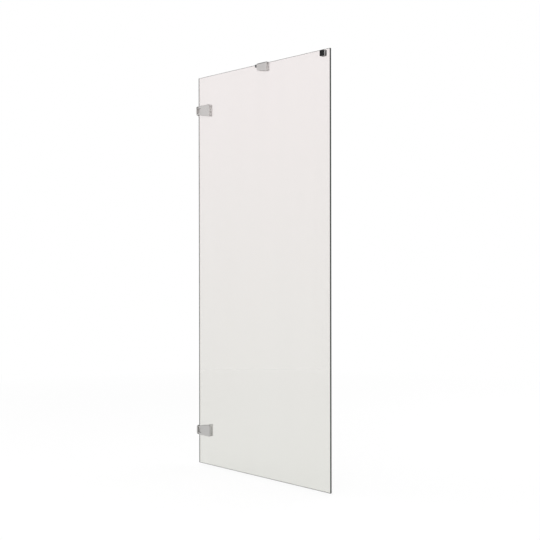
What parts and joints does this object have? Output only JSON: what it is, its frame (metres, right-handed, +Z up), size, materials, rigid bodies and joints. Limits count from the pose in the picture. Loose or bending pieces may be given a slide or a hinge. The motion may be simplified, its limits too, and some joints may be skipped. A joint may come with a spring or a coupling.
{
  "type": "hinged shower screen",
  "caption": "Frameless shower screen: a tall clear glass pane that swings on slim wall hinges, with a saddle clip on its top edge and a black stop near its free corner.",
  "frame": {"origin": "on the wall, at the middle of the lower wall plate's back face", "axes": "+X from the wall along the pane, +Y across the glass away from the viewer, +Z up"},
  "size_m": [0.908, 0.029, 2.004],
  "materials": {
    "clear_glass": "polished",
    "satin_metal": "satin",
    "bright_steel": "polished",
    "bush_plastic": "matte",
    "spring_plastic": "matte",
    "soft_gasket": "matte",
    "black_anodised": "anodised",
    "black_rubber": "matte"
  },
  "bodies": {
    "wall_side": {"upper_wall_plate": "satin_metal", "upper_pivot_pin": "bright_steel", "lower_wall_plate": "satin_metal", "lower_pivot_pin": "bright_steel"},
    "pane": {"glass_pane": "clear_glass", "upper_front_plate": "satin_metal", "upper_back_plate": "satin_metal", "upper_clamp_screws": "bright_steel", "upper_spring_plug": "bright_steel", "upper_centring_plunger": "bush_plastic", "upper_pivot_bushes": "bush_plastic", "upper_centring_spring": "spring_plastic", "upper_front_gasket": "soft_gasket", "upper_back_gasket": "soft_gasket", "lower_front_plate": "satin_metal", "lower_back_plate": "satin_metal", "lower_clamp_screws": "bright_steel", "lower_spring_plug": "bright_steel", "lower_centring_plunger": "bush_plastic", "lower_pivot_bushes": "bush_plastic", "lower_centring_spring": "spring_plastic", "lower_front_gasket": "soft_gasket", "lower_back_gasket": "soft_gasket", "top_clip_saddle": "satin_metal", "top_clip_front_gasket": "soft_gasket", "top_clip_back_gasket": "soft_gasket", "top_clip_edge_pad": "black_rubber", "top_clip_pressure_plate": "bright_steel", "top_clip_set_screws": "bright_steel", "corner_stop_body": "black_anodised", "corner_stop_back": "black_anodised", "corner_stop_liner": "soft_gasket", "corner_stop_back_pad": "black_rubber", "corner_stop_sleeve": "bush_plastic", "corner_stop_screw": "bright_steel"}
  },
  "joints": [
    {"name": "pane_swing", "type": "hinge", "parent": "wall_side", "child": "pane", "pos_m": [0.024, 0, 0], "axis": [0, 0, 1], "range_deg": [-90, 90]}
  ]
}
